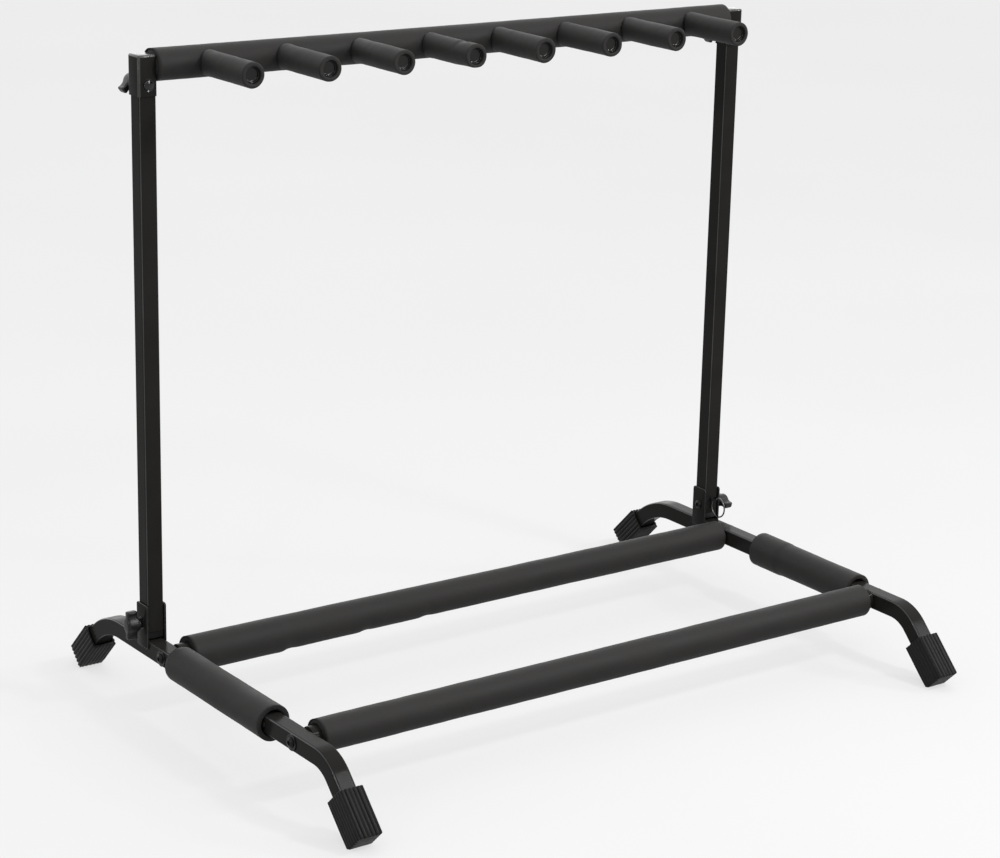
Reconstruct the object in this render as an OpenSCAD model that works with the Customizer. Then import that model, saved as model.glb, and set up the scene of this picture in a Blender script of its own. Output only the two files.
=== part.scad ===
// Folding guitar rack: bent side legs, two uprights, a padded top rail with pegs.
// Units mm. +X right along the rails, -Y front (the pegs point there), +Z up, floor at Z = 0.

/* [Frame] */
// Distance between the upright centre lines
frame_w = 795; // [600:1:900]
// Side of the square tube of the legs and uprights
tube_w = 20; // [16:0.5:25]
// Wall thickness of the square tube
tube_t = 1.2; // [1:0.1:2]
// Outer corner radius of the square tube
tube_r = 2; // [1.5:0.1:4]
// Height of the leg's centre line above the floor
leg_z = 73.5; // [60:0.5:90]

/* [Legs] */
// Straight run from the uprights forward to the front bend
leg_front = 356; // [300:1:400]
// Straight run from the uprights back to the rear bend
leg_rear = 62; // [40:1:90]
// Centre-line radius of the front bend
bend_front_r = 45; // [35:1:90]
// Centre-line radius of the rear bend
bend_rear_r = 85; // [45:1:100]
// Angle of both bends
bend_a = 45; // [40:1:50]

/* [Feet] */
// Width of the rubber foot, left to right
foot_w = 26; // [24:0.5:32]
// Depth of the rubber foot across the leg
foot_d = 28; // [24:0.5:32]
// Length of the rubber foot along the leg
foot_l = 51.5; // [40:0.5:60]
// Thickness of the rubber under the end of the tube
foot_base = 7; // [4:0.5:10]
// Number of grooves on each face
foot_grooves = 5; // [3:1:7]
// Depth of a groove
groove_d = 1.2; // [0.6:0.1:1.5]
// Width of a groove
groove_w = 1.7; // [1:0.1:2.5]
// How far the resting edge is flattened
foot_flat = 1.2; // [0.5:0.1:2]

/* [Hinge] */
// Height of the hinge bolt above the floor
hinge_z = 103; // [95:0.5:120]
// Width of a hinge ear, front to back
ear_w = 24; // [20:0.5:30]
// Thickness of a hinge ear
ear_t = 2; // [1.5:0.1:3]
// Height of the lower end of an ear
ear_z0 = 75; // [66:0.5:82]
// Height of the upper end of an ear
ear_z1 = 125.5; // [118:0.5:135]
// Corner radius of an ear
ear_r = 3; // [1:0.5:6]

/* [Uprights] */
// Height of the upper end of the upright tube
upright_top = 708.5; // [600:0.5:760]
// Height of the lower end of the upright tube
upright_z0 = 93; // [90:0.5:97]
// Radius of the rounded lower plug about the hinge bolt
plug_r = 19.2; // [18:0.1:19.4]

/* [Top rail] */
// Height of the rail's centre line
rail_z = 720.5; // [620:0.5:780]
// Outer diameter of the rail tube
rail_d = 19; // [16:0.5:22]
// Wall thickness of the round tubes
rail_t = 1.5; // [1:0.1:2]
// Sheet thickness of the end bracket
bracket_t = 1.5; // [1:0.1:2.5]
// Height of the end bracket's lower edge
bracket_z0 = 689.5; // [670:0.5:700]
// Height of the end bracket's top
bracket_z1 = 733; // [725:0.5:745]
// Height of the clamping bolt in the end bracket
clamp_z = 701.5; // [695:0.5:704]

/* [Pegs] */
// Distance between two pegs
peg_pitch = 93.2; // [80:0.1:110]
// Distance from the rail's centre line to the end of a peg's sleeve
peg_reach = 105; // [80:1:140]
// Outer diameter of a peg's tube
peg_d = 18; // [12:0.5:18.5]
// How far the sleeve reaches past the end cap
peg_recess = 3; // [1:0.5:5]

/* [Foam sleeves] */
// Outer diameter of the rail sleeve
rail_foam_d = 35; // [30:0.5:45]
// Outer diameter of a peg sleeve
peg_foam_d = 26.4; // [24:0.1:34]
// Outer diameter of the crossbar sleeves
bar_foam_d = 37; // [30:0.5:45]
// Gap between the front crossbar's sleeve and each leg
front_foam_gap = 9.5; // [2:0.5:20]
// Gap between the rear crossbar's sleeve and the left leg
rear_foam_gap_left = 12.5; // [2:0.5:20]
// Gap between the rear crossbar's sleeve and the right leg
rear_foam_gap_right = 3.5; // [2:0.5:20]
// Outer diameter of the leg sleeves
leg_foam_d = 41; // [36:0.5:45]
// Bore of the leg sleeves, round over the square tube
leg_foam_bore = 27.2; // [26:0.1:30]
// Distance of the left leg sleeve's rear end from the uprights
leg_foam_left_y0 = 66; // [60:1:120]
// Distance of the left leg sleeve's front end from the uprights
leg_foam_left_y1 = 262; // [180:1:290]
// Distance of the right leg sleeve's rear end from the uprights
leg_foam_right_y0 = 111; // [60:1:120]
// Distance of the right leg sleeve's front end from the uprights
leg_foam_right_y1 = 288; // [180:1:290]
// Gap from the end bracket to the rail sleeve
rail_foam_gap = 2; // [1:0.5:10]

/* [Crossbars] */
// Outer diameter of the crossbar tubes
bar_d = 25; // [19:0.5:28]
// Distance of the rear crossbar in front of the uprights
bar_rear = 40; // [30:1:60]
// Distance of the front crossbar in front of the uprights
bar_front = 315; // [280:1:330]

/* [Fasteners] */
// Head diameter of the rivet at the front end of a leg sleeve
rivet_d = 6.4; // [5:0.1:8]
// Shank diameter of every bolt
bolt_d = 6; // [5:0.5:8]
// Head diameter of every bolt
head_d = 11.5; // [10:0.5:14]
// Height of a bolt head
head_h = 3.4; // [3:0.1:5]
// Outer diameter of a crossbar washer
washer_d = 18; // [12:0.5:19]
// Span of a wing knob
knob_span = 32; // [26:0.5:44]
// Thickness of a wing
knob_wing_t = 8; // [5:0.5:10]
// Length of a knob's hub
knob_l = 19; // [14:0.5:26]

/* [Pull pin] */
// Height of the pin above the floor
pin_z = 112.5; // [110:0.5:125]
// Diameter of the pin
pin_d = 5; // [4:0.5:6]
// Distance of the pin's eye in front of the upright's centre line
pin_eye = 15; // [14.8:0.1:18]
// Wire diameter of the pull ring
ring_wire = 1.9; // [1.2:0.1:3]
// Mean diameter of the pull ring
ring_d = 25; // [20:0.1:26]

/* [Output] */
// Sub-part to draw

/* [Hidden] */
$fn = 48;

steel_c = [0.13, 0.13, 0.14];
foam_c = [0.22, 0.22, 0.23];
rubber_c = [0.12, 0.12, 0.12];
plastic_c = [0.08, 0.08, 0.08];
zinc_c = [0.3, 0.3, 0.32];

half_w = frame_w / 2;
half_t = tube_w / 2;
fit = 0.05;
loose = 0.1;
ca = cos(bend_a);
sa = sin(bend_a);

// Centre of the foot's end face: its lower edge, flattened, rests on the floor.
foot_cz = foot_d / 2 * sa - foot_flat;
// Straight tube between each bend and the foot's end face.
run_front = (leg_z - bend_front_r * (1 - ca) - foot_cz) / sa;
run_rear = (leg_z - bend_rear_r * (1 - ca) - foot_cz) / sa;
foot_front_y = leg_front + bend_front_r * sa + run_front * ca;
foot_rear_y = leg_rear + bend_rear_r * sa + run_rear * ca;
// The origin is in the middle of the footprint, so the uprights stand behind it.
up_y = (foot_front_y - foot_rear_y) / 2;

peg_base = rail_d / 2;
cap_t = 1.5;
cap_y = peg_reach - peg_recess;
peg_end = cap_y - cap_t;
rail_half = half_w + half_t;
bracket_in = half_w - half_t + 0.5;
insert_l = 14;
insert_r = bar_d / 2 - rail_t;
washer_t = 1.2;
pivot_x = half_t + ear_t;
pivot_washer_t = 1;
clamp_y = half_t + bracket_t;
neck_r = 4.5;
neck_l = 3;
hub_r = 7.5;
bolt_in_knob = 14;
pin_in = 0;
pin_neck = 11.5;
eye_t = 2.2;
eye_r = 4.6;
eye_bore = 2.8;
wing_turn_base_left = 90;
wing_turn_base_right = -12;
wing_turn_top = 40;

module rounded_square(w, d, r) {
  square([w - 2 * r, d], center = true);
  square([w, d - 2 * r], center = true);
  for (sx = [-1, 1], sy = [-1, 1])
    translate([sx * (w / 2 - r), sy * (d / 2 - r)])
      circle(r = r);
}

module tube_section() {
  difference() {
    rounded_square(tube_w, tube_w, tube_r);
    rounded_square(tube_w - 2 * tube_t, tube_w - 2 * tube_t, tube_r - tube_t);
  }
}

// One bend and the straight run after it, leaving forward along -Y.
module leg_end(r, run, w, corner) {
  translate([0, 0, -r])
    rotate([90, 0, 90])
      rotate([0, 0, 90])
        rotate_extrude(angle = bend_a, $fn = 96)
          translate([r, 0])
            rounded_square(w, w, corner);
  translate([0, 0, -r])
    rotate([bend_a, 0, 0])
      translate([0, 0, r])
        rotate([90, 0, 0])
          linear_extrude(run)
            rounded_square(w, w, corner);
}

// The leg's outline, solid: drawn once for the outside and once for the inside.
module leg_bar(w, corner, extra) {
  translate([0, leg_rear, 0])
    rotate([90, 0, 0])
      linear_extrude(leg_front + leg_rear)
        rounded_square(w, w, corner);
  translate([0, -leg_front, 0])
    leg_end(bend_front_r, run_front - foot_base + extra, w, corner);
  translate([0, leg_rear, 0])
    rotate([0, 0, 180])
      leg_end(bend_rear_r, run_rear - foot_base + extra, w, corner);
}

module leg(side) {
  color(steel_c)
    translate([side * half_w, up_y, leg_z])
      difference() {
        leg_bar(tube_w, tube_r, 0);
        leg_bar(tube_w - 2 * tube_t, tube_r - tube_t, 1);
        for (y = [bar_rear, bar_front])
          translate([-tube_w, -y, 0])
            rotate([0, 90, 0])
              cylinder(h = 2 * tube_w, d = bolt_d + 2 * loose);
      }
}

// Rubber foot, its end face at local Z = 0 and the tube entering from +Z.
module foot_solid() {
  difference() {
    linear_extrude(foot_l)
      rounded_square(foot_w, foot_d, 2);
    translate([0, 0, foot_base])
      linear_extrude(foot_l)
        rounded_square(tube_w + 2 * loose, tube_w + 2 * loose, tube_r + loose);
    for (i = [0 : foot_grooves - 1], s = [-1, 1]) {
      translate([s * foot_w / 2, (i - (foot_grooves - 1) / 2) * foot_d * 0.86 / foot_grooves, foot_l / 2])
        cube([2 * groove_d, groove_w, foot_l + 2], center = true);
      translate([(i - (foot_grooves - 1) / 2) * foot_w * 0.86 / foot_grooves, s * foot_d / 2, foot_l / 2])
        cube([groove_w, 2 * groove_d, foot_l + 2], center = true);
    }
  }
}

module foot(side, y, turn) {
  color(rubber_c)
    difference() {
      translate([side * half_w, y, foot_cz])
        rotate([0, 0, turn])
          rotate([bend_a - 90, 0, 0])
            foot_solid();
      translate([side * half_w, y, -10])
        cube([4 * foot_w, 4 * foot_d, 20], center = true);
    }
}

// Flat ear welded to one side of the leg, the hinge bolt through it.
module ear(side, face) {
  color(steel_c)
    translate([side * half_w + face * (half_t + ear_t / 2), up_y, 0])
      difference() {
        translate([-ear_t / 2, 0, (ear_z0 + ear_z1) / 2])
          rotate([90, 0, 90])
            linear_extrude(ear_t)
              rounded_square(ear_w, ear_z1 - ear_z0, ear_r);
        translate([-ear_t, 0, hinge_z])
          rotate([0, 90, 0])
            cylinder(h = 2 * ear_t, d = bolt_d + 2 * fit);
      }
}

module round_tube(len, d, t) {
  rotate([0, 90, 0])
    difference() {
      cylinder(h = len, d = d, center = true, $fn = 96);
      cylinder(h = len + 2, d = d - 2 * t, center = true, $fn = 96);
    }
}

module crossbar(y) {
  color(steel_c)
    translate([0, up_y - y, leg_z])
      round_tube(frame_w - tube_w, bar_d, rail_t);
}

module sleeve_x(len, d, bore) {
  rotate([0, 90, 0])
    difference() {
      cylinder(h = len, d = d, center = true, $fn = 96);
      cylinder(h = len + 2, d = bore, center = true, $fn = 96);
    }
}

module crossbar_sleeve(y, gap_left, gap_right) {
  color(foam_c)
    translate([(gap_left - gap_right) / 2, up_y - y, leg_z])
      sleeve_x(frame_w - tube_w - gap_left - gap_right, bar_foam_d, bar_d + 2 * loose);
}

module leg_sleeve(side, y0, y1) {
  color(foam_c)
    translate([side * half_w, up_y - (y0 + y1) / 2, leg_z])
      rotate([0, 0, 90])
        sleeve_x(y1 - y0, leg_foam_d, leg_foam_bore);
}

module sleeve_front() {
  crossbar_sleeve(bar_front, front_foam_gap, front_foam_gap);
}

module sleeve_rear() {
  crossbar_sleeve(bar_rear, rear_foam_gap_left, rear_foam_gap_right);
}

module sleeve_leg_left() {
  leg_sleeve(-1, leg_foam_left_y0, leg_foam_left_y1);
}

module sleeve_leg_right() {
  leg_sleeve(1, leg_foam_right_y0, leg_foam_right_y1);
}

// Domed rivet head on a leg's outer face, just inside the leg sleeve's front end.
module leg_rivet(side, y) {
  translate([side * (half_w + half_t), up_y - y, leg_z])
    rotate([0, side * 90, 0]) {
      cylinder(h = 0.8, d = rivet_d);
      translate([0, 0, 0.8])
        cylinder(h = 1.1, d1 = rivet_d, d2 = rivet_d * 0.6);
    }
}

module leg_rivets() {
  color(zinc_c) {
    leg_rivet(-1, leg_foam_left_y1 - 3);
    leg_rivet(1, leg_foam_right_y1 - 3);
  }
}

// The four places where a crossbar meets a leg, local +Z pointing outward.
module at_crossbar_ends() {
  for (side = [-1, 1], y = [bar_rear, bar_front])
    translate([side * half_w, up_y - y, leg_z])
      rotate([0, side * 90, 0])
        children();
}

module crossbar_inserts() {
  color(zinc_c)
    at_crossbar_ends()
      translate([0, 0, -half_t - insert_l])
        difference() {
          cylinder(h = insert_l, r = insert_r);
          translate([0, 0, -1])
            cylinder(h = insert_l + 2, d = bolt_d);
        }
}

module crossbar_washers() {
  color(zinc_c)
    at_crossbar_ends()
      translate([0, 0, half_t])
        difference() {
          cylinder(h = washer_t, d = washer_d);
          translate([0, 0, -1])
            cylinder(h = washer_t + 2, d = bolt_d + 2 * loose);
        }
}

// Button-head bolt: the shank runs down from Z = 0, the head stands above it.
module button_bolt(len) {
  translate([0, 0, -len])
    cylinder(h = len, d = bolt_d);
  difference() {
    union() {
      cylinder(h = head_h * 0.4, d = head_d);
      translate([0, 0, head_h * 0.4])
        cylinder(h = head_h * 0.35, d1 = head_d, d2 = head_d * 0.84);
      translate([0, 0, head_h * 0.75])
        cylinder(h = head_h * 0.25, d1 = head_d * 0.84, d2 = head_d * 0.56);
    }
    translate([0, 0, head_h * 0.4])
      cylinder(h = head_h, d = head_d * 0.38, $fn = 6);
  }
}

module crossbar_bolts() {
  color(zinc_c)
    at_crossbar_ends()
      translate([0, 0, half_t + washer_t])
        button_bolt(tube_w + washer_t + insert_l - 2);
}

// Hinge bolts: head on the inner ear, the shank running out through the knob.
module at_pivots() {
  for (side = [-1, 1])
    translate([side * half_w, up_y, hinge_z])
      rotate([0, side * 90, 0])
        children();
}

module pivot_bolts() {
  color(zinc_c)
    at_pivots()
      translate([0, 0, -pivot_x])
        rotate([180, 0, 0])
          button_bolt(2 * pivot_x + pivot_washer_t + bolt_in_knob);
}

module plain_washer() {
  difference() {
    cylinder(h = pivot_washer_t, d = 2 * bolt_d + 2);
    translate([0, 0, -1])
      cylinder(h = pivot_washer_t + 2, d = bolt_d + 2 * fit);
  }
}

module pivot_washers() {
  color(zinc_c)
    at_pivots()
      translate([0, 0, pivot_x])
        plain_washer();
}

// Wing knob: seat at Z = 0, a short neck, a hub and two wings along local X.
module wing_knob() {
  difference() {
    union() {
      cylinder(h = neck_l + 1, r = neck_r);
      translate([0, 0, neck_l])
        cylinder(h = knob_l - neck_l - 1.5, r = hub_r);
      translate([0, 0, knob_l - 1.5])
        cylinder(h = 1.5, r1 = hub_r, r2 = hub_r - 1.5);
      translate([0, knob_wing_t / 2, (neck_l + 2 + knob_l - 2) / 2])
        rotate([90, 0, 0])
          linear_extrude(knob_wing_t)
            rounded_square(knob_span, knob_l - neck_l - 4, 4);
    }
    translate([0, 0, -1])
      cylinder(h = bolt_in_knob + 2, d = bolt_d + 2 * fit);
  }
}

module knob_base(side, turn) {
  color(plastic_c)
    translate([side * (half_w + pivot_x + pivot_washer_t), up_y, hinge_z])
      rotate([turn, 0, 0])
        rotate([0, side * 90, 0])
          rotate([0, 0, 90])
            wing_knob();
}

module knob_top(side) {
  color(plastic_c)
    translate([side * half_w, up_y + clamp_y + pivot_washer_t, clamp_z])
      rotate([0, -wing_turn_top, 0])
        rotate([-90, 0, 0])
          wing_knob();
}

module upright(side) {
  color(steel_c)
    translate([side * half_w, up_y, 0])
      difference() {
        translate([0, 0, upright_z0])
          linear_extrude(upright_top - upright_z0)
            tube_section();
        translate([-tube_w, 0, hinge_z])
          rotate([0, 90, 0])
            cylinder(h = 2 * tube_w, d = bolt_d + 2 * fit);
        translate([0, tube_w, clamp_z])
          rotate([90, 0, 0])
            cylinder(h = 2 * tube_w, d = bolt_d + 2 * loose);
        if (side > 0)
          translate([0, 0, pin_z])
            rotate([90, 0, 0])
              cylinder(h = tube_w, d = pin_d + 2 * fit);
      }
}

// Plastic foot of the upright, rounded about the hinge bolt to clear the leg.
module upright_bottom_plugs() {
  color(plastic_c)
    for (side = [-1, 1])
      translate([side * half_w, up_y, 0]) {
        intersection() {
          translate([0, 0, hinge_z - plug_r - 1])
            linear_extrude(upright_z0 - hinge_z + plug_r + 1)
              rounded_square(tube_w, tube_w, tube_r);
          translate([-tube_w, 0, hinge_z])
            rotate([0, 90, 0])
              cylinder(h = 2 * tube_w, r = plug_r, $fn = 96);
        }
        translate([0, 0, upright_z0 - 0.5])
          linear_extrude(6)
            rounded_square(tube_w - 2 * tube_t - 2 * loose, tube_w - 2 * tube_t - 2 * loose, 1);
      }
}

module upright_top_plugs() {
  color(plastic_c)
    for (side = [-1, 1])
      translate([side * half_w, up_y, upright_top]) {
        linear_extrude(1.5)
          rounded_square(tube_w, tube_w, tube_r);
        translate([0, 0, -3.5])
          linear_extrude(4)
            rounded_square(tube_w - 2 * tube_t - 2 * loose, tube_w - 2 * tube_t - 2 * loose, 1);
      }
}

// Folded cap over the end of the rail and the top of the upright, open inward and below.
module bracket(side) {
  out_r = 2.2;
  depth = tube_w + 2 * bracket_t;
  len = rail_half + bracket_t - bracket_in;
  color(steel_c)
    translate([0, up_y, 0])
      difference() {
        translate([side * (bracket_in + len / 2), 0, bracket_z0])
          union() {
            linear_extrude(bracket_z1 - bracket_z0 - out_r)
              bracket_outline(side, len, depth, out_r);
            translate([-side * out_r / 2, 0, 0])
              linear_extrude(bracket_z1 - bracket_z0)
                square([len - out_r, depth - 2 * out_r], center = true);
            for (s = [-1, 1])
              translate([0, s * (depth / 2 - out_r), bracket_z1 - bracket_z0 - out_r])
                rotate([0, 90, 0])
                  cylinder(h = len - 2 * out_r, r = out_r, center = true);
            for (s = [-1, 1])
              translate([-side * (len / 2 - out_r), s * (depth / 2 - out_r), bracket_z1 - bracket_z0 - out_r])
                rotate([0, 90, 0])
                  cylinder(h = 2 * out_r, r = out_r, center = true);
            translate([side * (len / 2 - out_r), 0, bracket_z1 - bracket_z0 - out_r])
              rotate([90, 0, 0])
                cylinder(h = depth - 2 * out_r, r = out_r, center = true);
            for (s = [-1, 1])
              translate([side * (len / 2 - out_r), s * (depth / 2 - out_r), bracket_z1 - bracket_z0 - out_r])
                sphere(r = out_r);
          }
        translate([side * (bracket_in - 1 + (rail_half - bracket_in + 1) / 2), 0,
            bracket_z0 - 1 + (bracket_z1 - bracket_z0 + 1 - bracket_t) / 2])
          cube([rail_half - bracket_in + 1, tube_w, bracket_z1 - bracket_z0 + 1 - bracket_t], center = true);
        translate([side * half_w, tube_w, clamp_z])
          rotate([90, 0, 0])
            cylinder(h = 2 * tube_w, d = bolt_d + 2 * loose);
      }
}

module bracket_outline(side, len, depth, r) {
  translate([-side * r / 2, 0])
    square([len - r, depth], center = true);
  square([len, depth - 2 * r], center = true);
  for (s = [-1, 1])
    translate([side * (len / 2 - r), s * (depth / 2 - r)])
      circle(r = r);
}

module top_bar() {
  color(steel_c)
    translate([0, up_y, rail_z])
      round_tube(2 * rail_half, rail_d, rail_t);
}

function peg_x(i) = (i - 4.5) * peg_pitch;

// Peg tube, its root coped to sit on the rail.
module peg(i) {
  color(steel_c)
    translate([peg_x(i), up_y, rail_z])
      difference() {
        rotate([90, 0, 0])
          cylinder(h = peg_end, d = peg_d);
        rotate([90, 0, 0])
          translate([0, 0, -1])
            cylinder(h = peg_end + 2, d = peg_d - 2 * rail_t);
        rotate([0, 90, 0])
          cylinder(h = 2 * peg_d, d = rail_d, center = true, $fn = 96);
      }
}

module peg_caps() {
  color(plastic_c)
    for (i = [1 : 8])
      translate([peg_x(i), up_y - peg_end, rail_z])
        rotate([90, 0, 0]) {
          difference() {
            cylinder(h = cap_t, d = peg_d);
            translate([0, 0, cap_t - 0.6])
              cylinder(h = 1, d1 = peg_d - 5, d2 = peg_d - 3);
          }
          translate([0, 0, -7])
            cylinder(h = 7.2, d = peg_d - 2 * rail_t - 2 * loose);
        }
}

module sleeve_peg(i) {
  color(foam_c)
    translate([peg_x(i), up_y, rail_z])
      difference() {
        rotate([90, 0, 0])
          cylinder(h = peg_reach, d = peg_foam_d);
        rotate([90, 0, 0])
          translate([0, 0, -1])
            cylinder(h = peg_reach + 2, d = peg_d + 2 * loose);
        rotate([0, 90, 0])
          cylinder(h = 2 * peg_foam_d, d = rail_foam_d + 2 * loose, center = true, $fn = 96);
      }
}

module sleeve_top() {
  color(foam_c)
    translate([0, up_y, rail_z])
      difference() {
        sleeve_x(2 * (bracket_in - rail_foam_gap), rail_foam_d, rail_d + 2 * loose);
        for (i = [1 : 8])
          translate([peg_x(i), 0, 0])
            rotate([90, 0, 0])
              cylinder(h = rail_foam_d, d = peg_d + 2 * loose);
      }
}

// Clamping bolts: head on the front plate, the shank running back through the knob.
module at_clamps() {
  for (side = [-1, 1])
    translate([side * half_w, up_y, clamp_z])
      rotate([-90, 0, 0])
        children();
}

module top_bolts() {
  color(zinc_c)
    at_clamps()
      translate([0, 0, -clamp_y])
        rotate([180, 0, 0])
          button_bolt(2 * clamp_y + pivot_washer_t + bolt_in_knob);
}

module top_washers() {
  color(zinc_c)
    at_clamps()
      translate([0, 0, clamp_y])
        plain_washer();
}

// Pin in the right upright's front wall, its flat eye standing out in front.
module pull_pin() {
  color(zinc_c)
    translate([half_w, up_y, pin_z])
      difference() {
        union() {
          rotate([90, 0, 0])
            translate([0, 0, pin_in])
              cylinder(h = pin_neck - pin_in, d = pin_d);
          translate([0, -pin_eye, -eye_t / 2])
            cylinder(h = eye_t, r = eye_r);
        }
        translate([0, -pin_eye, -eye_t])
          cylinder(h = 2 * eye_t, r = eye_bore);
      }
}

// Wire ring threaded through the pin's eye, resting forward and down at 45 degrees.
module pull_ring() {
  color(zinc_c)
    translate([half_w, up_y - pin_eye - ring_d / 2 * cos(45), pin_z - ring_d / 2 * sin(45)])
      rotate([0, 90, 0])
        rotate_extrude($fn = 96)
          translate([ring_d / 2, 0])
            circle(d = ring_wire, $fn = 24);
}

leg(-1);  // leg_left
leg(1);  // leg_right
foot(-1, up_y - foot_front_y, 0);  // foot_front_left
foot(1, up_y - foot_front_y, 0);  // foot_front_right
foot(-1, up_y + foot_rear_y, 180);  // foot_rear_left
foot(1, up_y + foot_rear_y, 180);  // foot_rear_right
ear(-1, -1);  // ear_left_outer
ear(-1, 1);  // ear_left_inner
ear(1, -1);  // ear_right_inner
ear(1, 1);  // ear_right_outer
crossbar(bar_front);  // crossbar_front
crossbar(bar_rear);  // crossbar_rear
crossbar_inserts();
crossbar_bolts();
crossbar_washers();
sleeve_front();
sleeve_rear();
sleeve_leg_left();
sleeve_leg_right();
leg_rivets();
pivot_bolts();
pivot_washers();
upright(-1);  // upright_left
upright(1);  // upright_right
upright_bottom_plugs();
upright_top_plugs();
bracket(-1);  // bracket_left
bracket(1);  // bracket_right
top_bar();
sleeve_top();
peg(1);  // peg_1
peg(2);  // peg_2
peg(3);  // peg_3
peg(4);  // peg_4
peg(5);  // peg_5
peg(6);  // peg_6
peg(7);  // peg_7
peg(8);  // peg_8
sleeve_peg(1);  // sleeve_peg_1
sleeve_peg(2);  // sleeve_peg_2
sleeve_peg(3);  // sleeve_peg_3
sleeve_peg(4);  // sleeve_peg_4
sleeve_peg(5);  // sleeve_peg_5
sleeve_peg(6);  // sleeve_peg_6
sleeve_peg(7);  // sleeve_peg_7
sleeve_peg(8);  // sleeve_peg_8
peg_caps();
top_bolts();
top_washers();
knob_base(-1, wing_turn_base_left);  // knob_base_left
knob_base(1, wing_turn_base_right);  // knob_base_right
knob_top(-1);  // knob_top_left
knob_top(1);  // knob_top_right
pull_pin();
pull_ring();
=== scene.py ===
import math

import bmesh
import bpy
from mathutils import Matrix, Vector, noise


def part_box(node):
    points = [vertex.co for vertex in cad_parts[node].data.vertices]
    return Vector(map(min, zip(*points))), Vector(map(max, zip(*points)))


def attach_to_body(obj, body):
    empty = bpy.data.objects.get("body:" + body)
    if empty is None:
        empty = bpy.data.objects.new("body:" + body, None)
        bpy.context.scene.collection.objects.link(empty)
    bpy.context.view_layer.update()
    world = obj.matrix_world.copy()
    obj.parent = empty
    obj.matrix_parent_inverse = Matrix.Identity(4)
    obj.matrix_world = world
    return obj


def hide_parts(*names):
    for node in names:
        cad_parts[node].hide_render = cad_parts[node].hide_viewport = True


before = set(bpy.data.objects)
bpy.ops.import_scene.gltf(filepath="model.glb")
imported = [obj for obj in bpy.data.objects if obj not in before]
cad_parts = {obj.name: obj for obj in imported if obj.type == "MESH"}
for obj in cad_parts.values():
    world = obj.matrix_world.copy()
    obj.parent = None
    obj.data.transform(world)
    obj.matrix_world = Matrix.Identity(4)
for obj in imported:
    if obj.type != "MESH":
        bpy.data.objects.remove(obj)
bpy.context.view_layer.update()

# ---------------------------------------------------------------- sizes, in metres
MM = 0.001
X, Y, Z = Vector((1, 0, 0)), Vector((0, 1, 0)), Vector((0, 0, 1))
SIDES = ((-1, "left"), (1, "right"))


def limits(node):
    """The lowest and highest corner of a CAD node's box."""
    low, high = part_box(node)
    return Vector(low), Vector(high)


def middle(node):
    """The centre of a CAD node's box."""
    low, high = limits(node)
    return (low + high) / 2


HALF_W = -middle("upright_left").x  # from the rack's middle to an upright's centre line
UP_Y = middle("upright_left").y  # the uprights' centre line, front to back
LEG_Z = middle("crossbar_front").z  # centre line of the legs and crossbars
FRONT_Y = middle("crossbar_front").y
REAR_Y = middle("crossbar_rear").y
HINGE_Z = middle("pivot_washers").z
CLAMP_Z = middle("top_washers").z
RAIL_Z = middle("top_bar").z
PIN_Z = middle("pull_pin").z
BRACKET_HALF_D = limits("bracket_left")[1].y - UP_Y  # half a top bracket's depth
TUBE = 20 * MM  # side of the square tube
TUBE_R = 2.2 * MM  # its corner radius
EAR_T = 2 * MM
WASHER_T = 1 * MM
RING_T = 1.2 * MM  # the rings under the crossbars' bolt heads


# ---------------------------------------------------------------- materials
PATCH_SCALE = 14.0  # of the soft patches of colour and gloss
GRAIN_SHARE = 0.45  # of the fine grain in the colour, beside the patches


def add_node(tree, kind, inputs, **settings):
    """A node with its settings; an input is given a value, or a socket that is linked to it."""
    node = tree.nodes.new(kind)
    for key, value in settings.items():
        setattr(node, key, value)
    for key, value in inputs.items():
        if isinstance(value, bpy.types.NodeSocket):
            tree.links.new(value, node.inputs[key])
        else:
            node.inputs[key].default_value = value
    return node


def add_noise(tree, vector, scale, detail=2.0, rough=0.5, stretch=None):
    if stretch:
        vector = add_node(tree, "ShaderNodeMapping", {"Vector": vector, "Scale": stretch}).outputs[0]
    inputs = {"Vector": vector, "Scale": scale, "Detail": detail, "Roughness": rough}
    return add_node(tree, "ShaderNodeTexNoise", inputs).outputs["Fac"]


def add_ramp(tree, fac, stops):
    """Two colours, each with its place on the ramp."""
    ramp = add_node(tree, "ShaderNodeValToRGB", {0: fac})
    for element, (place, colour) in zip(ramp.color_ramp.elements, stops):
        element.position = place
        element.color = (*colour, 1)
    return ramp.outputs["Color"]


def add_range(tree, fac, low, high):
    """Spreads the middle values of a noise over low to high."""
    inputs = {"Value": fac, "From Min": 0.3, "From Max": 0.7, "To Min": low, "To Max": high}
    return add_node(tree, "ShaderNodeMapRange", inputs).outputs[0]


def add_bump(tree, height, strength, distance, normal=None):
    inputs = {"Height": height, "Strength": strength, "Distance": distance}
    if normal:
        inputs["Normal"] = normal
    return add_node(tree, "ShaderNodeBump", inputs).outputs[0]


def new_material(name):
    """An empty material, its node tree and the object's own coordinates."""
    mat = bpy.data.materials.new(name)
    mat.use_nodes = True
    tree = mat.node_tree
    tree.nodes.clear()
    return mat, tree, add_node(tree, "ShaderNodeTexCoord", {}).outputs["Object"]


def add_shader(tree, inputs):
    shader = add_node(tree, "ShaderNodeBsdfPrincipled", inputs)
    add_node(tree, "ShaderNodeOutputMaterial", {"Surface": shader.outputs[0]})


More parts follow.
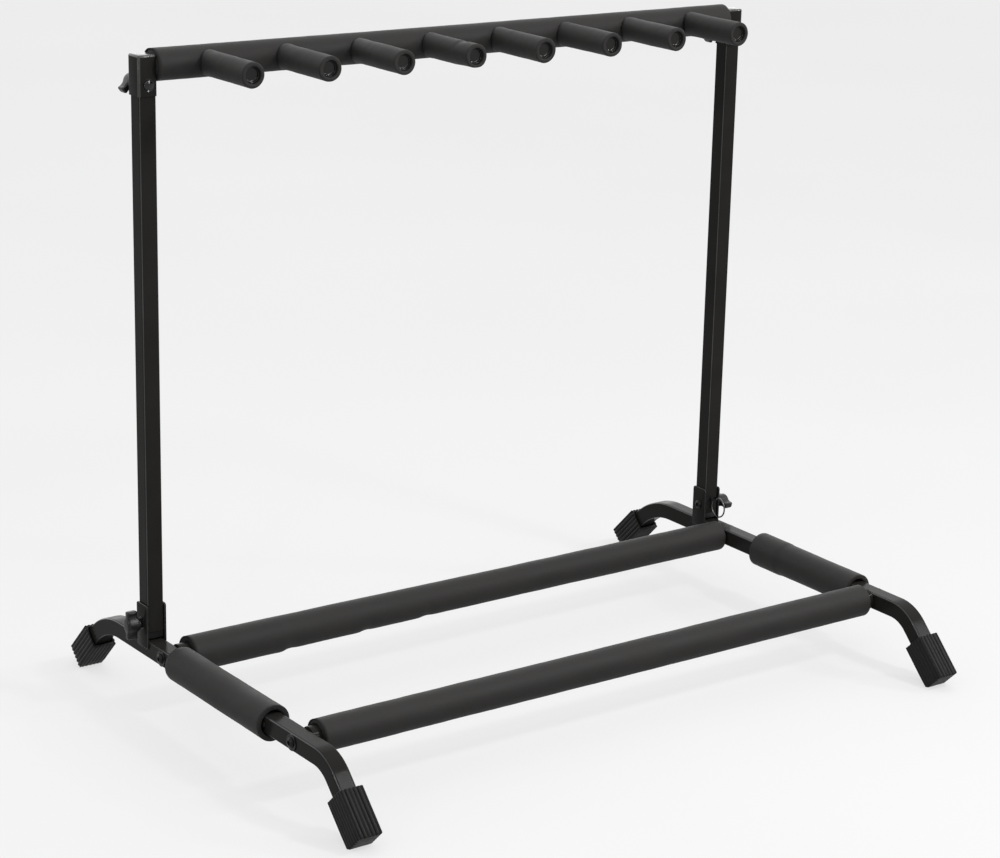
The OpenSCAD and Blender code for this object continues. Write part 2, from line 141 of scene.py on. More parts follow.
def surface(name, dark, light, rough, grain, relief, spec, metallic=0.0, stretch=None, lumps=None):
    """A solid finish: two close colours in soft patches, its own range of gloss and a fine relief.

    grain is the scale of that relief and stretch draws it out; lumps adds a coarser (scale, height)."""
    mat, tree, position = new_material(name)
    patches = add_noise(tree, position, PATCH_SCALE, detail=4.0, rough=0.55)
    fine = add_noise(tree, position, grain, detail=3.0, rough=0.6, stretch=stretch)
    parts = {0: fine, 1: GRAIN_SHARE, 2: add_range(tree, patches, 0.05, 0.5)}
    mixed = add_node(tree, "ShaderNodeMath", parts, operation="MULTIPLY_ADD").outputs[0]
    normal = add_bump(tree, fine, strength=0.6, distance=relief)
    if lumps:
        scale, height = lumps
        normal = add_bump(tree, add_noise(tree, position, scale), 0.5, height, normal)
    add_shader(tree, {
        "Base Color": add_ramp(tree, mixed, [(0.2, dark), (0.85, light)]),
        "Roughness": add_range(tree, patches, *rough),
        "Metallic": metallic,
        "Specular IOR Level": spec,
        "Normal": normal,
    })
    return mat


STEEL = surface("powder_coat", dark=(0.0084, 0.008, 0.0076), light=(0.0122, 0.0117, 0.0111),
                rough=(0.18, 0.26), grain=1100.0, relief=0.04 * MM, spec=0.025, lumps=(190.0, 0.04 * MM))
# a lighter, glossier coat for rounded corners, rims, folds and the brackets' tops: its lighter colour is a
# painted highlight
HIGHLIGHT_COAT = surface("powder_coat_painted_highlight", dark=(0.012, 0.012, 0.012), light=(0.04, 0.04, 0.039),
                     rough=(0.2, 0.3), grain=700.0, relief=0.04 * MM, spec=0.3)
FOAM = surface("foam", dark=(0.0101, 0.0096, 0.0092), light=(0.0156, 0.0149, 0.0143),
               rough=(0.55, 0.68), grain=1500.0, relief=0.22 * MM, spec=0.12, lumps=(160.0, 0.3 * MM))
RUBBER = surface("rubber", dark=(0.0036, 0.0035, 0.0034), light=(0.0102, 0.01, 0.0097),
                 rough=(0.4, 0.58), grain=900.0, relief=0.2 * MM, spec=0.1, stretch=(1.0, 0.25, 0.25))
PLASTIC = surface("moulded_plastic", dark=(0.0045, 0.0045, 0.0048), light=(0.009, 0.009, 0.009),
                  rough=(0.28, 0.4), grain=1300.0, relief=0.08 * MM, spec=0.2)
# the caps' own dark plastic, made darker still as painted shade of their sunk ends
CAP_PLASTIC_SHADED = surface("cap_plastic_painted_shade", dark=(0.003, 0.0026, 0.0022), light=(0.0055, 0.005, 0.0045),
              rough=(0.14, 0.2), grain=800.0, relief=0.1 * MM, spec=0.26)
BOLT = surface("black_oxide", dark=(0.005, 0.005, 0.0052), light=(0.012, 0.0118, 0.0115),
               rough=(0.12, 0.18), grain=1600.0, relief=0.03 * MM, spec=0.1)
POLISHED = surface("polished_oxide", dark=(0.003, 0.003, 0.0031), light=(0.006, 0.0059, 0.0058),
                   rough=(0.06, 0.1), grain=1600.0, relief=0.02 * MM, spec=0.35)
WIRE = surface("dark_wire", dark=(0.06, 0.06, 0.06), light=(0.13, 0.13, 0.127),
               rough=(0.18, 0.28), grain=1500.0, relief=0.02 * MM, spec=0.5, metallic=1.0)


# ---------------------------------------------------------------- mesh helpers
def make(name, verts, faces, mat, smooth=True, sharp=None):
    """A mesh object; edges that bend more than sharp, in degrees, stay crisp."""
    mesh = bpy.data.meshes.new(name)
    mesh.from_pydata([tuple(v) for v in verts], [], faces)
    mesh.update()
    if smooth:
        mesh.polygons.foreach_set("use_smooth", [True] * len(mesh.polygons))
    if sharp:
        mesh.set_sharp_from_angle(angle=math.radians(sharp))
    mesh.materials.append(mat)
    obj = bpy.data.objects.new(name, mesh)
    bpy.context.scene.collection.objects.link(obj)
    return obj


def loft(rings, closed=False):
    """Quads between rings of equal length. Closed joins the last to the first, else the ends get caps."""
    count = len(rings[0])
    verts = [p for ring in rings for p in ring]
    faces = []
    for i in range(len(rings) if closed else len(rings) - 1):
        a, b = i * count, ((i + 1) % len(rings)) * count
        for j in range(count):
            k = (j + 1) % count
            faces.append((a + j, a + k, b + k, b + j))
    if not closed:
        faces.append(tuple(range(count - 1, -1, -1)))
        faces.append(tuple(range(len(verts) - count, len(verts))))
    return verts, faces


def merge(parts):
    """One set of verts and faces out of several."""
    verts, faces = [], []
    for part_verts, part_faces in parts:
        base = len(verts)
        verts += part_verts
        faces += [tuple(i + base for i in face) for face in part_faces]
    return verts, faces


def fix_normals(obj):
    bm = bmesh.new()
    bm.from_mesh(obj.data)
    bmesh.ops.recalc_face_normals(bm, faces=bm.faces)
    bm.to_mesh(obj.data)
    bm.free()
    return obj


def attach(obj, body, slot, *nodes):
    """Says which body a piece rides on and hides the CAD nodes that it stands for; slot is not used."""
    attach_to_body(obj, body)
    if nodes:
        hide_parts(*nodes)


def group(name, parts, body, mat, slot, *nodes, sharp=35):
    """One piece of several loose shells."""
    verts, faces = merge(parts)
    attach(fix_normals(make(name, verts, faces, mat, sharp=sharp)), body, slot, *nodes)


def frame_of(origin, axis, side):
    """A place: its origin, its axis and two directions square to it, the first as near side as can be."""
    axis = axis.normalized()
    side = (side - axis * side.dot(axis)).normalized()
    return origin, axis, side, axis.cross(side)


def angles(count):
    """Even steps round a circle."""
    return [2 * math.pi * j / count for j in range(count)]


def circle(centre, e1, e2, radius, count):
    return [centre + (e1 * math.cos(a) + e2 * math.sin(a)) * radius for a in angles(count)]


def lathe(profile, place, count=48, shape=None):
    """Rings of (radius, height) in millimetres about a place's axis; shape(ring, angle) scales a radius."""
    origin, axis, e1, e2 = place
    rings = []
    for i, (radius, height) in enumerate(profile):
        centre = origin + axis * height * MM
        ring = []
        for a in angles(count):
            scale = shape(i, a) if shape else 1.0
            ring.append(centre + (e1 * math.cos(a) + e2 * math.sin(a)) * radius * MM * scale)
        rings.append(ring)
    return loft(rings)


def rounded_square(width, depth, r, n=6):
    """Outline of a rounded rectangle: in each corner an arc of n steps between two close points."""
    beside = 0.12 * MM
    points = []
    for corner, (sx, sy) in enumerate(((1, 1), (-1, 1), (-1, -1), (1, -1))):
        cx, cy = sx * (width / 2 - r), sy * (depth / 2 - r)
        first = math.pi / 2 * corner
        arc = [first + math.pi / 2 * i / n for i in range(n + 1)]
        before = (cx + r * math.cos(first) + beside * math.sin(first),
                  cy + r * math.sin(first) - beside * math.cos(first))
        after = (cx - r * math.sin(first) - beside * math.cos(first),
                 cy + r * math.cos(first) - beside * math.sin(first))
        points += [before] + [(cx + r * math.cos(t), cy + r * math.sin(t)) for t in arc] + [after]
    return points


def wobble(point, scale, seed):
    """Smooth noise at a point, about -1 to 1."""
    x, y, z = (coordinate * scale for coordinate in point)
    return noise.noise(Vector((x + seed, y - seed * 0.7, z + 3.1)))


def smooth_step(x, a, b):
    """Rises from 0 at a to 1 at b."""
    t = min(1.0, max(0.0, (x - a) / (b - a)))
    return t * t * (3 - 2 * t)


def bell(x, at, width):
    """1 at one place, fading to 0 on both sides."""
    return math.exp(-(((x - at) / width) ** 2))


def turned(a, b, degrees):
    """The direction that lies so many degrees from a towards b."""
    t = math.radians(degrees)
    return a * math.cos(t) + b * math.sin(t)


# ---------------------------------------------------------------- foam sleeves
# outer radius and radius of the bore
BAR_FOAM = (18.4 * MM, 12.7 * MM)
LEG_FOAM = (20.0 * MM, 14.2 * MM)
RAIL_FOAM = (17.5 * MM, 9.7 * MM)
PEG_FOAM = (13.7 * MM, 9.1 * MM)
RAIL_OVERRUN = 2.2 * MM  # how far the rail's foam runs past its CAD sleeve
PEGS = range(1, 9)
NICKED_PEG = 4


def sleeve_section(length, r_out, r_in, step, lip):
    """The wall of a sleeve as a closed run of (distance along, radius), with soft rims lip wide."""
    mouth, flare = 0.5 * MM, 0.1 * MM  # this near its ends the bore is that much wider
    straight = 1.5 * MM  # and from here it is straight
    turn = [math.pi / 2 * i / 5 for i in range(6)]
    steps = int(length / step)
    flat = r_out - lip - r_in  # the width of a cut end
    section = [(lip * (1 - math.sin(a)), r_out - lip * (1 - math.sin(a))) for a in turn]
    section += [(lip + (length - 2 * lip) * i / steps, r_out) for i in range(1, steps)]
    section += [(length - lip * (1 - math.sin(a)), r_out - lip * (1 - math.cos(a))) for a in turn]
    section += [(length, r_in + flat * k) for k in (0.66, 0.33)]
    section.append((length - mouth, r_in + flare))
    section += [(length - straight - (length - 2 * straight) * i / 5, r_in) for i in range(6)]
    section.append((mouth, r_in + flare))
    section += [(0.0, r_in + flat * k) for k in (0.33, 0.66)]
    return section


def unevenness(s, a, r_out, seed):
    """How far a sleeve's skin stands proud: slow and small lumps, and a little out of round."""
    skin = (s, math.cos(a) * r_out, math.sin(a) * r_out)
    phase = seed * 1.7
    lumps = 0.30 * MM * wobble(skin, 24.0, seed) + 0.12 * MM * wobble(skin, 110.0, seed + 9)
    return lumps + 0.22 * MM * math.cos(2 * a + phase + 5 * s) + 0.12 * MM * math.sin(3 * a + phase)


def raggedness(s, a, r, length, seed):
    """How far a cut end is out of square; it fades out 4 mm from the cut."""
    near = max(0.0, 1 - min(s, length - s) / (4 * MM))
    which_end = 0.0 if s < length / 2 else 5.0
    cut = (math.cos(a) * r, math.sin(a) * r, seed * 0.1 + which_end)
    return near * 0.35 * MM * (wobble(cut, 60.0, seed + 3) + 0.4 * wobble(cut, 260.0, seed + 5))


def foam_sleeve(word, body, line, foam, seed, warp=None, start=None, count=88, step=3.2 * MM, lip=1.1 * MM):
    """A closed-cell foam tube on a line (origin, axis, length), with cut ends, slightly uneven.

    warp(distance, angle) is added to the outer radius; start(angle, radius) is where the tube begins."""
    origin, axis, length = line
    r_out, r_in = foam
    origin, axis, e1, e2 = frame_of(origin, axis, Z)
    rings = []
    for s, r in sleeve_section(length, r_out, r_in, step, lip):
        share = max(0.0, (r - r_in) / (r_out - r_in))
        ring = []
        for a in angles(count):
            grow = unevenness(s, a, r_out, seed) + (warp(s, a) if warp else 0.0)
            begin = start(a, r) if start else 0.0
            along = s + raggedness(s, a, r, length, seed)
            centre = origin + axis * (begin + (length - begin) * along / length)
            ring.append(centre + (e1 * math.cos(a) + e2 * math.sin(a)) * (r + share * grow))
        rings.append(ring)
    verts, faces = loft(rings, closed=True)
    obj = fix_normals(make(f"foam_{word}", verts, faces, FOAM))
    attach(obj, body, "foam", f"sleeve_{word}")


def along_x(word, y, z, overrun=0.0):
    """The line of a sleeve across the rack, as long as its CAD node."""
    low, high = limits(f"sleeve_{word}")
    return Vector((low.x - overrun, y, z)), X, high.x - low.x + 2 * overrun


def along_leg(word, side):
    """The line of a sleeve along a leg, from the back forward."""
    low, high = limits(f"sleeve_{word}")
    return Vector((side * HALF_W, high.y, LEG_Z)), -Y, high.y - low.y


def along_peg(i):
    """The line from the rail's centre to the end of a peg's foam."""
    tip = limits(f"sleeve_peg_{i}")[0].y
    return Vector((middle(f"sleeve_peg_{i}").x, UP_Y, RAIL_Z)), -Y, UP_Y - tip


def rear_warp(s, a):
    """Sags below near the left end, in three steps cut into the underside."""
    under = 0.5 - 0.5 * math.cos(a)
    sag = 0.4 * MM
    for at, drop in ((118 * MM, 1.5 * MM), (220 * MM, 0.9 * MM), (303 * MM, 0.7 * MM)):
        sag += drop * smooth_step(s, at + 4 * MM, at - 4 * MM) - 0.9 * MM * bell(s, at + 9 * MM, 7 * MM)
    return 0.6 * MM * smooth_step(s, 420 * MM, 60 * MM) - 0.2 * MM + sag * under ** 1.5


def leg_right_warp(s, a):
    """Thicker over the rear quarter."""
    return 0.9 * MM * smooth_step(s, 52 * MM, 44 * MM) - 0.2 * MM


def peg_start(a, r):
    """Where a peg's sleeve meets the round rail sleeve."""
    rail = RAIL_FOAM[0]
    height = min(abs(math.cos(a)) * r, rail * 0.98)
    return math.sqrt(rail ** 2 - height ** 2) - 0.35 * MM


def peg_warp(s, a):
    """Drawn in where it meets the rail, with a slight swelling beyond."""
    return 0.35 * MM * bell(s, 8 * MM, 6 * MM) - 1.0 * MM * bell(s, 0.0, 2 * MM)


def nicked_peg_warp(s, a):
    """A nick torn out of the top and a flat worn below, both towards the tip."""
    top, below = max(0.0, math.cos(a)), max(0.0, -math.cos(a))
    nick = smooth_step(s, 70 * MM, 74 * MM) * (1 - smooth_step(s, 76 * MM, 90 * MM)) * top ** 3
    flat = smooth_step(s, 60 * MM, 100 * MM) * below ** 6
    return peg_warp(s, a) - 1.3 * MM * nick - 1.6 * MM * flat


foam_sleeve("rear", "base", along_x("rear", REAR_Y, LEG_Z), BAR_FOAM, 1.0, warp=rear_warp)
foam_sleeve("front", "base", along_x("front", FRONT_Y, LEG_Z), BAR_FOAM, 2.0)
foam_sleeve("leg_left", "base", along_leg("leg_left", -1), LEG_FOAM, 3.0)
foam_sleeve("leg_right", "base", along_leg("leg_right", 1), LEG_FOAM, 4.0, warp=leg_right_warp)
foam_sleeve("top", "upper_frame", along_x("top", UP_Y, RAIL_Z, RAIL_OVERRUN), RAIL_FOAM, 5.0, lip=1.8 * MM)
for i in PEGS:
    foam_sleeve(f"peg_{i}", "upper_frame", along_peg(i), PEG_FOAM, 10.0 + i, start=peg_start,
                warp=nicked_peg_warp if i == NICKED_PEG else peg_warp, count=72, step=2.2 * MM, lip=1.5 * MM)


# ---------------------------------------------------------------- square tubes
TUBE_SECTION = rounded_square(TUBE, TUBE, TUBE_R)
MIDDLE_OF_ARC = (3, 4)  # which faces of a corner
BEND = math.radians(45)  # both bends of a leg
FRONT_ARM = (-1, 356 * MM, 45 * MM)  # way along Y, straight run from the upright, radius of the bend
REAR_ARM = (1, 62 * MM, 85 * MM)
SOLE_T = 7 * MM  # rubber under the end of the tube
SOLE_HALF_D, FLATTENED = 14 * MM, 1.2 * MM
SOLE_Z = SOLE_HALF_D * math.sin(BEND) - FLATTENED  # height of the sole's middle


def square_tube(name, node, body, rings):
    """A square tube through its rings, with the middle of each rounded corner painted lighter as a highlight.
    """
    verts, faces = loft(rings)
    obj = make(name, verts, faces, STEEL)
    obj.data.materials.append(HIGHLIGHT_COAT)
    count = len(TUBE_SECTION)
    # the middle faces of each corner take the painted highlight coat
    for face in range((len(rings) - 1) * count):
        if face % count % (count // 4) in MIDDLE_OF_ARC:
            obj.data.polygons[face].material_index = 1
    attach(fix_normals(obj), body, "steel", node)


def fall(radius):
    """Height from the end of a bend to the middle of the sole."""
    return LEG_Z - radius * (1 - math.cos(BEND)) - SOLE_Z


def arm_stations(way, straight, radius):
    """Centre, upper normal and share of the bending, from the start of the bend to the tube's end."""
    steps = 22
    stations = []
    for i in range(steps + 1):
        t = BEND * i / steps
        y = UP_Y + way * (straight + radius * math.sin(t))
        centre = Vector((0, y, LEG_Z - radius * (1 - math.cos(t))))
        normal = Vector((0, way * math.sin(t), math.cos(t)))
        stations.append((centre, normal, math.sin(math.pi * i / steps)))
    end, normal, _ = stations[-1]
    down = Vector((0, way * math.cos(BEND), -math.sin(BEND)))
    run = fall(radius) / math.sin(BEND) - SOLE_T
    return stations + [(end + down * run * k, normal, 0.0) for k in (0.05, 0.5, 1.0)]


def leg_ring(side, centre, normal, bending):
    """A leg's section; on the inside of a bend the wall is drawn in a little."""
    ring = []
    for across, out in TUBE_SECTION:
        drawn = 0.7 * MM * bending * (1 - (across / (TUBE / 2)) ** 2) if out < -0.45 * TUBE else 0.0
        ring.append(centre + X * (side * HALF_W + across) + normal * (out + drawn))
    return ring


def leg(side, word):
    rear, front = arm_stations(*REAR_ARM), arm_stations(*FRONT_ARM)
    straight = [(rear[0][0].lerp(front[0][0], t), Z, 0.0) for t in (0.02, 0.3, 0.6, 0.9, 0.98)]
    rings = [leg_ring(side, *station) for station in rear[::-1] + straight + front]
    square_tube(f"leg_tube_{word}", f"leg_{word}", "base", rings)


def upright(side, word):
    """A straight tube; the two close rings keep the shading of its lower end crisp."""
    low, high = limits(f"upright_{word}")
    heights = (low.z, low.z + 1 * MM, 150 * MM, 300 * MM, 450 * MM, 600 * MM, 700 * MM, high.z)
    rings = [[Vector((side * HALF_W + x, UP_Y + y, z)) for x, y in TUBE_SECTION] for z in heights]
    square_tube(f"upright_tube_{word}", f"upright_{word}", "upper_frame", rings)


for side, word in SIDES:
    leg(side, word)
    upright(side, word)


# ---------------------------------------------------------------- rubber feet, in millimetres
BOOT_W, BOOT_D, BOOT_L = 28.8, 30.2, 54.2
BOOT_SINK = 0.4  # how far the boot's middle lies below the tube's
BOOT_GROOVES = 6  # on each face
BOOT_CORNER = 2.0
BORE_CORNER = 2.4
PER_SIDE = 56  # points on each side of a ring
# distance from the sole, how much the outline shrinks and the depth of its grooves
BOOT_OUTSIDE = ((0.0, 1.9, 0.9), (0.2, 0.9, 1.4), (0.7, 0.3, 1.6), (1.5, 0.0, 1.7), (14, 0.0, 1.7),
                (26, 0.0, 1.7), (38, 0.0, 1.7), (BOOT_L - 1.1, 0.0, 1.7), (BOOT_L - 0.4, 0.15, 1.6),
                (BOOT_L - 0.1, 0.45, 1.4), (BOOT_L, 0.8, 1.1))
# distance from the sole and half the width of the bore
BOOT_INSIDE = ((BOOT_L, 12.2), (BOOT_L - 0.3, 11.8), (51.0, 11.2), (45.0, 10.4), (30.0, 10.4), (8.0, 10.4))


def rounded_off(t, half, radius):
    """How much a side at t has fallen back towards its corner, which begins a radius before half."""
    over = max(0.0, abs(t) - (half - radius)) / radius
    return radius * (1 - math.sqrt(max(0.0, 1 - over ** 2)))


def on_side(quarter, t, n):
    """The point at t along one of the four sides and n out from the middle."""
    return ((-t, n), (-n, -t), (t, -n), (n, t))[quarter]


def boot_outline(shrink, groove):
    """The ribbed outside, all round."""
    points = []
    for quarter in range(4):
        width, depth = BOOT_W - 2 * shrink, BOOT_D - 2 * shrink
        span, other = (width, depth) if quarter % 2 == 0 else (depth, width)
        for j in range(PER_SIDE):
            t = (j / PER_SIDE - 0.5) * span
            rib = abs(math.cos(math.pi * BOOT_GROOVES * j / PER_SIDE)) ** 0.7
            back = groove * (1 - rib) + 0.35 * rounded_off(t, span / 2, BOOT_CORNER)
            points.append(on_side(quarter, t, other / 2 - back))
    return points


def bore_outline(half):
    """The square bore, all round."""
    points = []
    for quarter in range(4):
        for j in range(PER_SIDE):
            t = (j / PER_SIDE - 0.5) * 2 * half
            points.append(on_side(quarter, t, half - 0.6 * rounded_off(t, half, BORE_CORNER)))
    return points


def boot(word, side, way, straight, radius):
    """Ribbed rubber boot on the end of a leg; its lowest edge is flattened by the floor."""
    up_tube = Vector((0, -way * math.cos(BEND), math.sin(BEND)))
    outward = Vector((0, way * math.sin(BEND), math.cos(BEND)))
    reach = straight + radius * math.sin(BEND) + fall(radius) / math.tan(BEND)
    sole = Vector((side * HALF_W, UP_Y + way * reach, SOLE_Z)) - outward * BOOT_SINK * MM
    stations = [(s, boot_outline(shrink, groove)) for s, shrink, groove in BOOT_OUTSIDE]
    stations += [(s, bore_outline(half)) for s, half in BOOT_INSIDE]
    rings = [[sole + (X * a + outward * b + up_tube * s) * MM for a, b in outline] for s, outline in stations]
    for ring in rings:
        for point in ring:
            point.z = max(point.z, 0.0)
    verts, faces = loft(rings)
    obj = fix_normals(make(f"boot_{word}", verts, faces, RUBBER, sharp=50))
    attach(obj, "base", "rubber", f"foot_{word}")


for side, word in SIDES:
    boot(f"front_{word}", side, *FRONT_ARM)
    boot(f"rear_{word}", side, *REAR_ARM)


# ---------------------------------------------------------------- hinge ears and their welds
EAR_R = 3 * MM


def ear(word):
    """Stamped plate with rounded corners and a rolled edge, painted lighter as a highlight."""
    low, high = limits(f"ear_{word}")
    centre, size = (low + high) / 2, high - low
    outline = rounded_square(size.y, size.z, EAR_R, 8)
    rings = []
    for out, shrink in ((-1.0, 0.35), (-0.88, 0.12), (-0.65, 0.0), (0.65, 0.0), (0.88, 0.12), (1.0, 0.35)):
        k_y, k_z = 1 - 2 * shrink * MM / size.y, 1 - 2 * shrink * MM / size.z
        rings.append([centre + Vector((out * EAR_T / 2, y * k_y, z * k_z)) for y, z in outline])
    verts, faces = loft(rings)
    obj = make(f"plate_{word}", verts, faces, STEEL, sharp=40)
    obj.data.materials.append(HIGHLIGHT_COAT)
    # the bands of the rim take the painted highlight coat
    for band in (0, 1, 3, 4):
        for j in range(len(outline)):
            obj.data.polygons[band * len(outline) + j].material_index = 1
    attach(fix_normals(obj), "base", "steel", f"ear_{word}")


for word in ("left_outer", "left_inner", "right_outer", "right_inner"):
    ear(word)


def resampled(points, spacing):
    """Points at even distances along a polyline."""
    reached = [0.0]
    for a, b in zip(points, points[1:]):
        reached.append(reached[-1] + (b - a).length)
    steps = int(reached[-1] / spacing)
    samples = []
    for i in range(steps + 1):
        d = reached[-1] * i / steps
        k = max(j for j in range(len(points) - 1) if reached[j] <= d + 1e-9)
        t = (d - reached[k]) / max(1e-9, reached[k + 1] - reached[k])
        samples.append(points[k].lerp(points[k + 1], min(1.0, t)))
    return samples


def weld_bead(points, radius, seed):
    """A run of weld along points, with the ripples of its puddles and tapered ends."""
    samples = resampled(points, 0.45 * MM)
    last = len(samples) - 1
    rings = []
    for i, p in enumerate(samples):
        along = (samples[min(last, i + 2)] - samples[max(0, i - 2)]).normalized()
        side = along.cross(X).normalized()
        ripple = 1 + 0.13 * math.sin(math.pi * i / 2) + 0.12 * noise.noise(Vector((i * 0.3, seed, 0)))
        taper = min(1.0, (i + 0.4) / 3, (last - i + 0.4) / 3)
        rings.append(circle(p, X, side, radius * ripple * math.sqrt(taper), 12))
    return loft(rings)


def ear_weld(side, face):
    """The weld round the lower end of the ear on one face of a leg."""
    low, high = limits("ear_left_outer")
    x = side * HALF_W + face * (TUBE / 2 + 0.1 * MM)
    top = LEG_Z + TUBE / 2 - 0.5 * MM
    centre_z = low.z + EAR_R
    arc = [math.radians(t) for t in range(0, 91, 15)]
    points = [Vector((x, low.y, top))]
    points += [Vector((x, low.y + EAR_R - EAR_R * math.cos(t), centre_z - EAR_R * math.sin(t))) for t in arc]
    points += [Vector((x, high.y - EAR_R + EAR_R * math.sin(t), centre_z - EAR_R * math.cos(t))) for t in arc]
    points.append(Vector((x, high.y, top)))
    return weld_bead(points, 0.9 * MM, side * 3 + face)


group("hinge_welds", [ear_weld(side, face) for side in (-1, 1) for face in (-1, 1)], "base", STEEL, "steel",
      sharp=None)


# ---------------------------------------------------------------- top brackets
FOLD_R = 2.3 * MM
SHEET_T = 1.5 * MM


def folded_sheet(low, high, side):
    """The bracket's outer skin as one sheet: outer web, front, back and top, with rounded folds."""
    bm = bmesh.new()
    xs = (low.x, high.x) if side > 0 else (high.x, low.x)
    corner = {(i, j, k): bm.verts.new((x, y, z)) for i, x in enumerate(xs)
              for j, y in enumerate((low.y, high.y)) for k, z in enumerate((low.z, high.z))}
    for quad in (((1, 0, 0), (1, 1, 0), (1, 1, 1), (1, 0, 1)),
                 ((0, 0, 0), (1, 0, 0), (1, 0, 1), (0, 0, 1)),
                 ((0, 1, 0), (0, 1, 1), (1, 1, 1), (1, 1, 0)),
                 ((0, 0, 1), (1, 0, 1), (1, 1, 1), (0, 1, 1))):
        bm.faces.new([corner[key] for key in quad])
    folds = [edge for edge in bm.edges if len(edge.link_faces) == 2]
    rounded = bmesh.ops.bevel(bm, geom=folds, offset=FOLD_R, segments=5, profile=0.5, affect="EDGES")
    bmesh.ops.recalc_face_normals(bm, faces=bm.faces)
    centre = (low + high) / 2
    if sum(face.normal.dot(face.calc_center_median() - centre) for face in bm.faces) < 0:
        bmesh.ops.reverse_faces(bm, faces=bm.faces)
    # the rounded folds and the top face take the painted highlight coat
    for face in bm.faces:
        face.material_index = int(face in rounded["faces"] or face.normal.z > 0.9)
    return bm


def top_bracket(side, word):
    """Folded cap over the upright's end; its folds, top and cut edges are painted lighter as highlights."""
    low, high = limits(f"bracket_{word}")
    bm = folded_sheet(low, high, side)
    obj = make(f"end_bracket_{word}", [], [], STEEL)
    bm.to_mesh(obj.data)
    bm.free()
    obj.data.materials.append(HIGHLIGHT_COAT)
    sheet = obj.modifiers.new("sheet", "SOLIDIFY")
    sheet.thickness = SHEET_T
    sheet.offset = -1
    sheet.use_even_offset = True
    edge = obj.modifiers.new("edge", "BEVEL")
    edge.width = 0.28 * MM
    edge.segments = 2
    edge.limit_method = "ANGLE"
    edge.angle_limit = math.radians(50)
    # the bevels of the cut edges take the painted highlight coat too
    edge.material = 1
    flat = obj.data
    obj.data = bpy.data.meshes.new_from_object(obj.evaluated_get(bpy.context.evaluated_depsgraph_get()))
    obj.modifiers.clear()
    bpy.data.meshes.remove(flat)
    obj.data.polygons.foreach_set("use_smooth", [True] * len(obj.data.polygons))
    obj.data.set_sharp_from_angle(angle=math.radians(38))
    attach(obj, "upper_frame", "steel", f"bracket_{word}")


for side, word in SIDES:
    top_bracket(side, word)


# ---------------------------------------------------------------- fasteners
# in millimetres
HEAD_R, HEAD_H, SOCKET_R = 5.75, 3.3, 2.3
RIM_Z = 0.6  # where a head's straight rim ends and its dome begins
BOLT_R, BOLT_L = 3.0, 37.0  # the shank, measured from under the head


def hex_factor(a):
    """Turns a circle into a hexagon."""
    sector = math.pi / 3
    return math.cos(sector / 2) / math.cos(a % sector - sector / 2)


def button_head(place):
    """Domed head with a hexagon socket; the place's axis points out of the head."""
    dome = [(0.6 * HEAD_R, -0.4), (0.92 * HEAD_R, 0.0), (HEAD_R, 0.35), (HEAD_R, RIM_Z)]
    for a in (math.radians(10 * i) for i in range(1, 9)):
        r = HEAD_R * (0.97 * math.cos(a) + 0.01)
        h = RIM_Z + (HEAD_H - RIM_Z) * math.sin(a) / math.sin(math.radians(80))
        if r > SOCKET_R + 0.5 or h < 1.0:
            dome.append((r, h))
    top = dome[-1][1]
    socket = [(SOCKET_R + 0.35, top + 0.02), (SOCKET_R + 0.05, top - 0.2), (SOCKET_R, top - 0.5),
              (SOCKET_R, top - 1.9), (SOCKET_R * 0.5, top - 2.2), (SOCKET_R * 0.05, top - 2.35)]
    first = len(dome) + 1

    def shape(ring, a):
        return hex_factor(a) * 1.12 if first <= ring <= first + 3 else 1.0

    return lathe(dome + socket, place, shape=shape)


def washer(place, r, t):
    """A flat ring of radius r and thickness t, with small chamfers."""
    origin, axis, e1, e2 = place
    bore, c = 3.1 * MM, 0.2 * MM
    profile = ((bore, 0.0), (r - c, 0.0), (r, c), (r, t - c), (r - c, t), (bore + c, t), (bore, t - c))
    return loft([circle(origin + axis * h, e1, e2, q, 48) for q, h in profile], closed=True)


def shank(place):
    """A bolt's shank with a chamfered tip."""
    c = 0.6
    return lathe([(BOLT_R, 0.0), (BOLT_R, BOLT_L - c), (BOLT_R - c, BOLT_L)], place, 32)


def socket_way(turn):
    """Which way a corner of a side bolt's socket points, at turn radians from the back."""
    return Y * math.cos(turn) + Z * math.sin(turn)


def crossbar_fasteners():
    """Bolt heads in rings on the legs' outer faces, no two sockets turned alike."""
    heads, rings = [], []
    for side in (-1, 1):
        for y, turn in ((REAR_Y, 40.0), (FRONT_Y, 315.0)):
            at = Vector((side * (HALF_W + TUBE / 2), y, LEG_Z))
            rings.append(washer(frame_of(at, X * side, Y), 9 * MM, RING_T))
            heads.append(button_head(frame_of(at + X * side * RING_T, X * side, socket_way(side + turn))))
    group("crossbar_bolt_heads", heads, "base", BOLT, "zinc", "crossbar_bolts")
    group("crossbar_washer_rings", rings, "base", BOLT, "zinc", "crossbar_washers")


def leg_rivets():
    """Small domed heads at the front ends of the legs' foam."""
    profile = [(3.0, -0.2), (3.2, 0.1), (3.2, 0.6), (2.9, 1.0), (2.2, 1.5), (1.2, 1.85), (0.1, 1.95)]
    heads = []
    for side, from_upright in ((-1, 259 * MM), (1, 285 * MM)):
        at = Vector((side * (HALF_W + TUBE / 2), UP_Y - from_upright, LEG_Z))
        heads.append(lathe(profile, frame_of(at, X * side, Y), 32))
    group("leg_rivet_heads", heads, "base", BOLT, "zinc", "leg_rivets")


